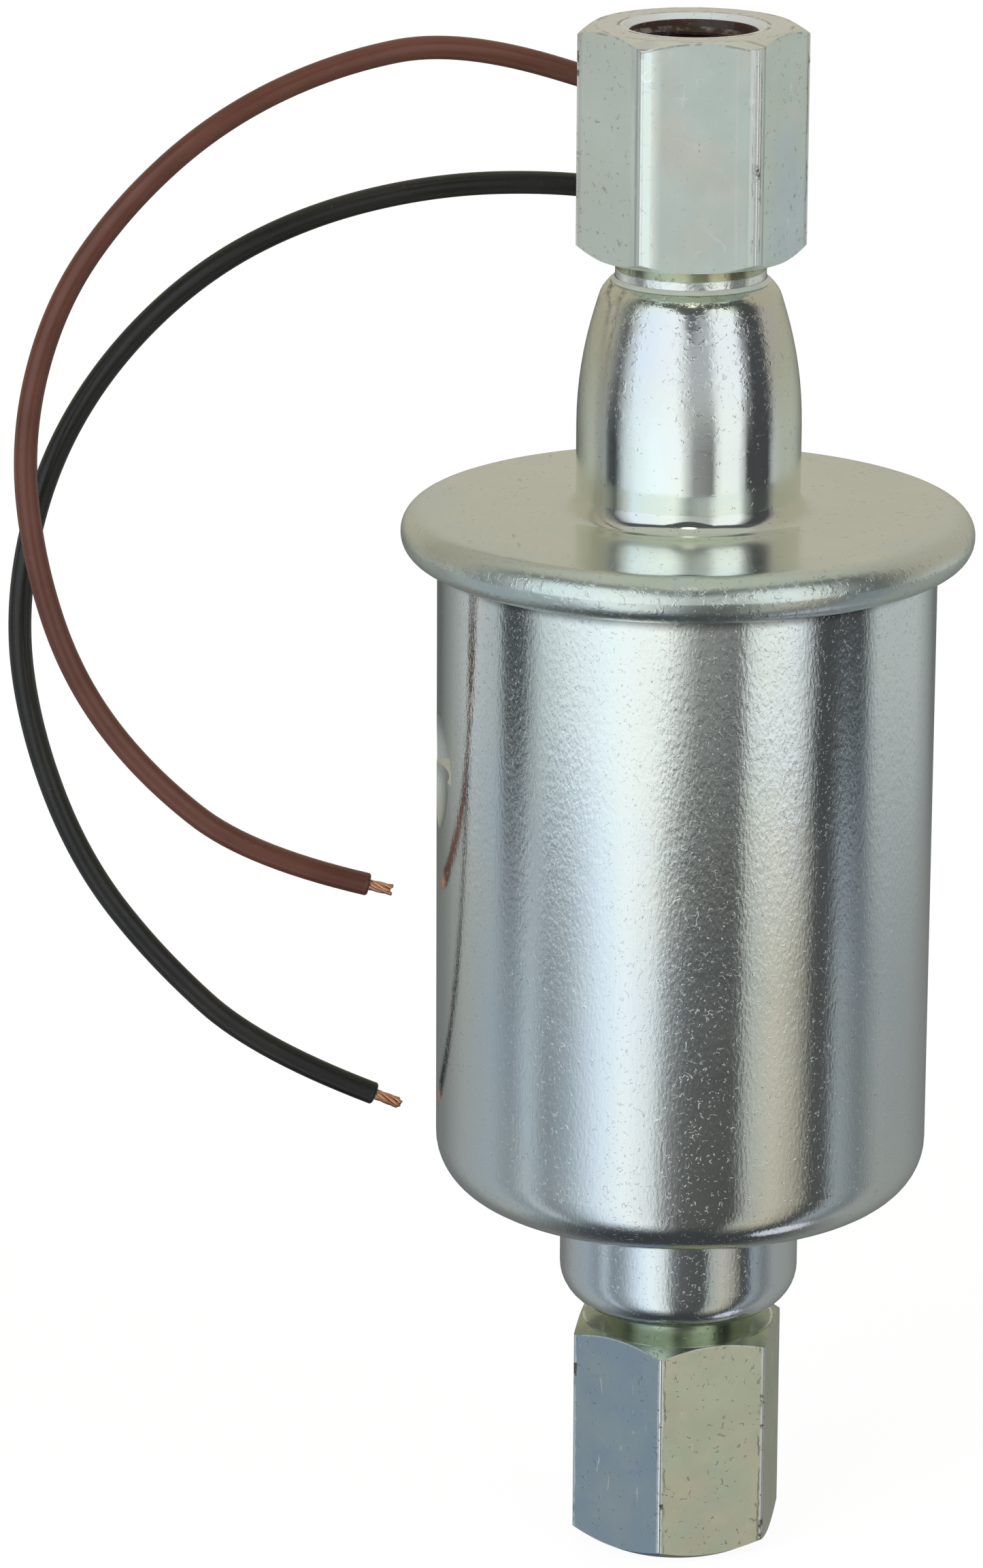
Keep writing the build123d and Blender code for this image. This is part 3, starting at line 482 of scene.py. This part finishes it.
def cloth_tape():
    """Woven insulating tape, wrapped in overlapping turns."""
    look = Look("wrap_cloth", Specular_IOR_Level=0.3)
    tilted = look.stretched((1, 1, 1), (0, 0, 0.1))
    warp = look.add("TexWave", {"Vector": tilted, "Scale": 900.0, "Distortion": 0.5},
                    out=1, wave_type="BANDS", bands_direction="Z")
    weft = look.add("TexWave", {"Vector": look.space, "Scale": 900.0, "Distortion": 0.5},
                    out=1, wave_type="BANDS", bands_direction="X")
    weave = look.times(warp, weft)
    cloud = look.noise(150.0, 4.0, 0.6)
    base = look.blend(look.spread(cloud, 0.35, 0.65), (0.58, 0.48, 0.28), (0.72, 0.62, 0.40))
    look.set(Base_Color=look.blend(look.times(weave, 0.4), (0.40, 0.31, 0.17), base))
    look.set(Roughness=look.spread(cloud, 0.3, 0.7, 0.7, 0.85), Normal=look.bump(weave, 0.08 * MM))
    return look.material


def phenolic_sheet():
    """Pressed phenolic board with faint paper layers."""
    look = Look("board_phenolic", Specular_IOR_Level=0.45)
    layers = look.spread(look.grain((60, 60, 1500), 4.0, 0.6, 0.2), 0.35, 0.65)
    fibres = look.grain((700, 160, 700), 3.0, 0.6, 0.8)
    base = look.blend(layers, (0.24, 0.11, 0.045), (0.37, 0.19, 0.085))
    base = look.paint(base, (0.46, 0.27, 0.13), look.spread(fibres, 0.5, 0.75, 0.0, 0.35))
    look.set(Base_Color=base, Roughness=look.spread(fibres, 0.3, 0.7, 0.38, 0.52))
    look.set(Normal=look.bump(fibres, 0.01 * MM))
    return look.material


# Finishes by the record's material slot, and one more for the wound threads
looks = {
    "can_steel": can_look(),
    "cover_steel": cover_look(),
    "fitting_steel": fitting_look(),
    "thread": thread_look(),
    "braze_metal": metal("braze_alloy", (0.86, 0.86, 0.78), (0.94, 0.95, 0.90), 0.24,
                         (500, 500, 500), 0.03 * MM, 0.45),
    "black_rubber": plastic("rubber_black", (0.018, 0.018, 0.019), (0.035, 0.034, 0.033), 0.55,
                            0.03 * MM, 700.0, 0.4),
    "valve_rubber": plastic("rubber_brown", (0.075, 0.050, 0.036), (0.12, 0.085, 0.06), 0.50,
                            0.02 * MM, 900.0, 0.4),
    "brass": metal("brass_turned", (0.62, 0.46, 0.20), (0.80, 0.63, 0.32), 0.18, (200, 200, 2600)),
    "bobbin_plastic": plastic("nylon_natural", (0.70, 0.67, 0.57), (0.80, 0.78, 0.69), 0.40),
    "enamelled_copper": wound_copper(),
    "wrap_tape": cloth_tape(),
    "soft_iron": metal("iron_plain", (0.36, 0.36, 0.36), (0.48, 0.48, 0.47), 0.34, (260, 260, 1800)),
    "plunger_steel": metal("steel_ground", (0.62, 0.63, 0.64), (0.72, 0.73, 0.74), 0.12,
                           (300, 300, 3400), 0.005 * MM),
    "spring_steel": metal("steel_spring", (0.50, 0.51, 0.52), (0.64, 0.65, 0.66), 0.20, (900, 900, 900)),
    "screen_plastic": plastic("nylon_screen", (0.74, 0.72, 0.64), (0.84, 0.83, 0.77), 0.35),
    "phenolic": phenolic_sheet(),
    "magnet": metal("magnet_cast", (0.16, 0.16, 0.17), (0.26, 0.26, 0.27), 0.45,
                    (800, 800, 800), 0.03 * MM),
    "contact_silver": metal("silver_contact", (0.76, 0.75, 0.72), (0.88, 0.87, 0.85), 0.16,
                            (700, 700, 700)),
    "suppressor_case": plastic("case_moulded", (0.05, 0.055, 0.065), (0.09, 0.095, 0.11), 0.22,
                               0.006 * MM),
    "brown_insulation": insulation("pvc_brown", (0.115, 0.034, 0.020), (0.145, 0.047, 0.029), 0.27),
    "black_insulation": insulation("pvc_black", (0.009, 0.008, 0.007), (0.016, 0.014, 0.012), 0.30),
    "copper": metal("copper_bare", (0.84, 0.40, 0.24), (0.96, 0.58, 0.40), 0.22, (600, 600, 600)),
}

for part in frame["record"]["subparts"]:
    data = nodes[part["node"]].data
    data.materials.clear()
    data.materials.append(looks[part["material_slot"]])


# Leads: the routes of the CAD model in millimetres, as the control points of smooth splines
lead_diameter = 2.45 * MM
brown_route = [
    (2, 28, 92), (2, 38, 92), (2.5, 46.5, 98.5), (3.5, 49.5, 108.5), (4.5, 46.5, 119), (5.5, 40, 129.5),
    (6.5, 32, 139.5), (5, 25, 148.5), (-4, 18.5, 153.5), (-24, 15.5, 160), (-37, 11.5, 158),
    (-49, 8.5, 152.5), (-59, 7, 143.5), (-66, 7, 133), (-69.5, 7, 119.5), (-68.5, 7, 106), (-64.5, 7, 93),
    (-57, 7, 82.5), (-46, 7, 73.5), (-33.5, 7, 70.5)]
black_route = [
    (-2, 28, 92), (-2, 38, 92), (-1.5, 46, 98.5), (-0.5, 48.5, 108), (0.5, 45.5, 117.5), (2, 39.5, 126.5),
    (3, 31.5, 134.5), (-2.5, 24.5, 141.5), (-13, 20.5, 144), (-26.5, 18.5, 144), (-40, 16.5, 141),
    (-51.5, 15, 135), (-61.5, 14, 125), (-68, 14, 113), (-71, 14, 98.5), (-69.5, 14, 85), (-64.5, 14, 71),
    (-56.5, 14, 60), (-45.5, 14, 49.5), (-33, 14, 44.5)]


def add_mesh(name, mesh, finish):
    """A piece on the pump's body, with the finish of the record's slot that it stands for."""
    piece = bpy.data.objects.new(name, mesh)
    scene.collection.objects.link(piece)
    mesh.materials.append(looks[finish])
    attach(piece, "pump_body")
    return piece


def to_mesh(work, name):
    mesh = bpy.data.meshes.new(name)
    work.to_mesh(mesh)
    work.free()
    return mesh


def smooth_sides(mesh):
    """The mesh with its four-sided faces smooth and its caps flat."""
    for face in mesh.polygons:
        face.use_smooth = len(face.vertices) == 4
    return mesh


def add_ring(work, centre, first, second, radius, sides):
    """Points round a centre, in the plane of two directions."""
    turns = [2 * math.pi * k / sides for k in range(sides)]
    return [work.verts.new(centre + (first * math.cos(a) + second * math.sin(a)) * radius) for a in turns]


def skin_rings(work, rings):
    """Faces between neighbouring rings, and a cap on the first and the last."""
    for low, high in zip(rings, rings[1:]):
        for k in range(len(low)):
            after = (k + 1) % len(low)
            work.faces.new((low[k], low[after], high[after], high[k]))
    work.faces.new(rings[0][::-1])
    work.faces.new(rings[-1])


def tube_mesh(name, lines, radius, sides=10):
    """Round wires that follow lines of points, with closed ends."""
    work = bmesh.new()
    for line in lines:
        rings = []
        side = Vector((0.3, 0.9, 0.2))
        for i, point in enumerate(line):
            along = (line[min(i + 1, len(line) - 1)] - line[max(i - 1, 0)]).normalized()
            side = (side - along * side.dot(along)).normalized()
            rings.append(add_ring(work, point, side, along.cross(side), radius, sides))
        skin_rings(work, rings)
    return smooth_sides(to_mesh(work, name))


def lead_end(route):
    """The point where a route ends, its direction there and two directions across it."""
    end, before = Vector(route[-1]) * MM, Vector(route[-2]) * MM
    along = (end - before).normalized()
    first = along.cross(Vector((0, 1, 0))).normalized()
    return end, along, first, along.cross(first)


def strands_mesh(name, route, length, turn):
    """Bared end: six wires twisted round a seventh, a little spread at the cut."""
    end, along, first, second = lead_end(route)
    wire_radius, ring_radius, flare = 0.205 * MM, 0.39 * MM, 0.03 * MM
    hidden, twist, steps = 0.4 * MM, 7.0 * MM, 12
    lines = [[end + along * (t / steps * length - hidden) for t in range(steps + 1)]]
    for k in range(6):
        line = []
        cut = length * (1 - 0.05 * (k % 3))
        for t in range(steps + 1):
            share = t / steps
            angle = turn + 2 * math.pi * (k / 6 + share * length / twist)
            reach = ring_radius + flare * share
            line.append(end + along * (share * cut - hidden * (1 - share))
                        + (first * math.cos(angle) + second * math.sin(angle)) * reach)
        lines.append(line)
    return tube_mesh(name, lines, wire_radius)


def cut_end_mesh(name, route, radius):
    """Insulation's cut end: a slice with a rounded edge, a little past the end of the route."""
    end, along, first, second = lead_end(route)
    profile = [(radius, -0.20), (radius, 0.0), (radius - 0.04 * MM, 0.12), (radius - 0.13 * MM, 0.22),
               (radius - 0.26 * MM, 0.28), (0.50 * MM, 0.30)]
    work = bmesh.new()
    rings = [add_ring(work, end + along * rise * MM, first, second, reach, 36) for reach, rise in profile]
    skin_rings(work, rings)
    bmesh.ops.recalc_face_normals(work, faces=work.faces)
    return smooth_sides(to_mesh(work, name))


def make_lead(name, route, slot, node, strands_node, bare, turn):
    """A lead as a spline, with its bared copper and the cut end of its insulation."""
    curve = bpy.data.curves.new(name, "CURVE")
    curve.dimensions = "3D"
    curve.bevel_depth = lead_diameter / 2
    curve.bevel_resolution = 7
    curve.use_fill_caps = True
    line = curve.splines.new("NURBS")
    line.points.add(len(route) - 1)
    for point, place in zip(line.points, route):
        point.co = (*(Vector(place) * MM), 1.0)
    line.order_u = 3
    line.use_endpoint_u = True
    line.resolution_u = 14
    line.use_smooth = True
    curve.materials.append(looks[slot])
    piece = bpy.data.objects.new(name, curve)
    scene.collection.objects.link(piece)
    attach(piece, "pump_body")
    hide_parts(node)
    strands = strands_mesh(name + "_copper", route, bare, turn)
    copper = add_mesh(name + "_copper", strands, "copper")
    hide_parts(strands_node)
    slice_mesh = cut_end_mesh(name + "_cut_end", route, lead_diameter / 2)
    cut_end = add_mesh(name + "_cut_end", slice_mesh, slot)


make_lead("brown_lead", brown_route, "brown_insulation", "lead_brown", "brown_strands", 2.8 * MM, 0.3)
make_lead("black_lead", black_route, "black_insulation", "lead_black", "black_strands", 3.3 * MM, 1.1)


def thread_mesh(name, mouth, inward):
    """Pipe thread: a ridge that winds into the port from its mouth and fades at both ends."""
    pitch, turns, steps = 25.4 / 18 * MM, 8, 72
    wall, crest, start = 6.62 * MM, 6.02 * MM, 0.2 * MM
    half_root, half_crest = 0.46 * pitch, 0.10 * pitch
    work = bmesh.new()
    sections = []
    for i in range(turns * steps + 1):
        angle = 2 * math.pi * i / steps
        middle = start + pitch * i / steps + half_root
        fade = min(1.0, i / (steps * 0.5), (turns * steps - i) / (steps * 0.75))
        top = wall - (wall - crest) * fade
        profile = [(wall, -half_root), (top, -half_crest), (top, half_crest), (wall, half_root)]
        sections.append([work.verts.new((reach * math.cos(angle), reach * math.sin(angle) * inward,
                                         mouth + inward * (middle + aside))) for reach, aside in profile])
    for low, high in zip(sections, sections[1:]):
        for k in range(len(low) - 1):
            work.faces.new((low[k], low[k + 1], high[k + 1], high[k]))
    bmesh.ops.recalc_face_normals(work, faces=work.faces)
    return to_mesh(work, name)


add_mesh("outlet_thread", thread_mesh("outlet_thread", outlet_end, -1), "thread")
add_mesh("inlet_thread", thread_mesh("inlet_thread", 0.0, 1), "thread")


def make_spring(name, node, wire, turns):
    """Compression spring with closed ends, in its CAD solid's place."""
    low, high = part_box(node)
    radius = (high.x - low.x - wire) / 2
    steps = 32
    rise = high.z - low.z - wire
    pitch = (rise - 2 * wire) / (turns - 2)
    line, height = [], low.z + wire / 2
    for i in range(turns * steps + 1):
        angle = 2 * math.pi * i / steps
        line.append(Vector((radius * math.cos(angle), radius * math.sin(angle), height)))
        closed = i < steps or i >= (turns - 1) * steps
        height += (wire if closed else pitch) / steps
    piece = add_mesh(name, tube_mesh(name, [line], wire / 2), "spring_steel")
    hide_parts(node)
    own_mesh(piece)


make_spring("plunger_coil_spring", "return_spring", 0.8 * MM, 7)
make_spring("valve_coil_spring", "inlet_valve_spring", 0.35 * MM, 5)


# Studio: softboxes and the dark gaps between them, which the plating reflects as upright bands. Each row
# goes round the pump in degrees from the camera's side, with the brightness there and its cast.
casts = {"cool": (0.88, 1.0, 1.08), "plain": (0.95, 1.0, 0.99), "green": (0.94, 1.0, 0.96),
         "beige": (1.06, 1.0, 0.84)}
low_row = [
    (-180, 0.15, "plain"), (-150, 0.20, "plain"), (-125, 0.35, "green"), (-102, 0.38, "cool"),
    (-88, 0.29, "cool"), (-78, 0.50, "cool"), (-67, 0.24, "cool"), (-56, 0.36, "cool"), (-40, 0.84, "cool"),
    (-28, 1.00, "plain"), (-16, 0.80, "plain"), (-8, 0.22, "plain"), (0, 0.10, "plain"), (24, 0.07, "plain"),
    (30, 0.40, "green"), (42, 0.48, "beige"), (53, 0.32, "beige"), (62, 0.07, "plain"), (69, 0.08, "plain"),
    (76, 0.34, "cool"), (90, 0.19, "cool"), (104, 0.32, "plain"), (130, 0.30, "green"), (180, 0.15, "plain")]
high_row = [
    (-180, 0.12, "green"), (-158, 0.12, "green"), (-138, 0.30, "green"), (-118, 0.56, "plain"),
    (-98, 0.44, "cool"), (-93, 0.07, "cool"), (-82, 0.05, "cool"), (-77, 0.28, "cool"), (-70, 0.66, "cool"),
    (-56, 0.92, "cool"), (-38, 1.04, "cool"), (-10, 1.02, "plain"), (-4, 0.70, "plain"), (4, 0.30, "plain"),
    (23, 0.20, "plain"), (28, 0.80, "green"), (34, 0.96, "green"), (50, 0.94, "plain"), (57, 0.50, "green"),
    (61, 0.06, "plain"), (87, 0.06, "plain"), (96, 0.52, "green"), (130, 0.50, "green"),
    (158, 0.16, "green")]
upper_row = [
    (-180, 0.445, "beige"), (-160, 0.42, "beige"), (-145, 0.40, "beige"), (-104, 0.38, "beige"),
    (-90, 0.22, "green"), (-82, 0.10, "plain"), (-72, 0.50, "plain"), (-60, 0.90, "cool"),
    (-16, 1.00, "plain"), (0, 0.46, "plain"), (18, 0.46, "plain"), (30, 0.94, "plain"), (52, 0.96, "plain"),
    (60, 0.34, "green"), (68, 0.06, "plain"), (86, 0.07, "plain"), (98, 0.38, "beige"), (145, 0.40, "beige"),
    (160, 0.42, "beige"), (180, 0.445, "beige")]


def make_studio():
    """World: the rows of softboxes, as the pump reflects them, and plain white for the camera."""
    world = bpy.data.worlds.new("studio")
    scene.world = world
    world.use_nodes = True
    sky = Nodes(world.node_tree)
    x, y, z = sky.axes(sky.add("TexCoord"))
    azimuth = sky.math("ARCTAN2", x, sky.times(y, -1.0))
    share_round = sky.add("MapRange", {"Value": azimuth, "From Min": -math.pi, "From Max": math.pi})

    def bands(row):
        ramp = sky.tree.nodes.new("ShaderNodeValToRGB")
        sky.tree.links.new(share_round, ramp.inputs[0])
        stops = ramp.color_ramp.elements
        while len(stops) < len(row):
            stops.new(1.0)
        for stop, (degrees, level, cast) in zip(stops, row):
            stop.position = degrees / 360.0 + 0.5
            stop.color = (*[level * part for part in casts[cast]], 1.0)
        return ramp.outputs[0]

    def near(at_x, at_y, outer, inner):
        """Round mask about a direction. Its limits are squares of the distance from it."""
        aside, ahead = sky.math("SUBTRACT", x, at_x), sky.math("SUBTRACT", y, at_y)
        square = sky.math("ADD", sky.times(aside, aside), sky.times(ahead, ahead))
        return sky.spread(square, outer, inner)

    light = sky.blend(sky.spread(z, -0.312, -0.262), bands(low_row), bands(high_row))
    light = sky.blend(sky.spread(z, -0.25, 0.05), light, bands(upper_row))
    middle = sky.spread(sky.math("ABSOLUTE", azimuth), 0.55, 0.0)
    dip = sky.math("ADD", sky.times(middle, 0.36), z)
    front_gap = sky.times(sky.spread(dip, 0.62, 0.70), sky.spread(y, 0.05, -0.10))
    overhead = sky.spread(z, 0.82, 0.86)
    spot = sky.times(near(0.0, -0.54, 0.014, 0.006), sky.spread(z, 0.5, 0.7))
    below = sky.spread(z, -0.72, -0.97)
    pale_patch = sky.times(near(0.44, 0.0, 0.030, 0.008), sky.spread(z, -0.75, -0.82))
    light = sky.paint(light, (0.08, 0.09, 0.09), front_gap)
    light = sky.paint(light, (0.46, 0.48, 0.41), overhead)
    light = sky.paint(light, (1.30, 1.28, 1.10), spot)
    light = sky.paint(light, (0.045, 0.05, 0.055), below)
    light = sky.paint(light, (0.62, 0.64, 0.74), pale_patch)
    light = sky.paint(light, (1.0, 1.0, 1.0), sky.add("LightPath", out="Is Camera Ray"))
    sky.add("OutputWorld", {"Surface": sky.add("Background", {"Color": light})})


def make_floor():
    """Pale floor: near white to the camera, with a faint shadow, and left out of reflections."""
    paper = bpy.data.materials.new("floor")
    paper.use_nodes = True
    tree = Nodes(paper.node_tree)
    glow_share = tree.times(tree.add("LightPath", out="Is Camera Ray"), 0.88)
    matt = tree.add("BsdfDiffuse", {"Color": (0.82, 0.82, 0.82)})
    glow = tree.add("Emission", {"Strength": 1.06})
    tree.add("OutputMaterial", {"Surface": tree.add("MixShader", {0: glow_share, 1: matt, 2: glow})})
    bpy.ops.mesh.primitive_circle_add(vertices=64, radius=6.0, fill_type="NGON", location=(0, 0, -0.1 * MM))
    floor = bpy.context.object
    floor.name = "floor"
    floor.data.materials.append(paper)
    floor.visible_glossy = False


def make_lamp(name, place, power):
    """Square soft lamp, aimed at the middle of the pump and left out of reflections."""
    data = bpy.data.lights.new(name, "AREA")
    data.size, data.energy = 0.8, power
    lamp = bpy.data.objects.new(name, data)
    scene.collection.objects.link(lamp)
    lamp.location = place
    lamp.rotation_euler = (Vector((0, 0, 80 * MM)) - Vector(place)).to_track_quat("-Z", "Y").to_euler()
    lamp.visible_glossy = False


make_studio()
make_floor()
make_lamp("key", (-0.7, -0.9, 1.0), 7.0)
make_lamp("fill", (0.9, -0.5, 0.7), 3.0)
make_lamp("rear", (0.2, 1.1, 0.8), 3.0)

scene.view_settings.view_transform = "Standard"
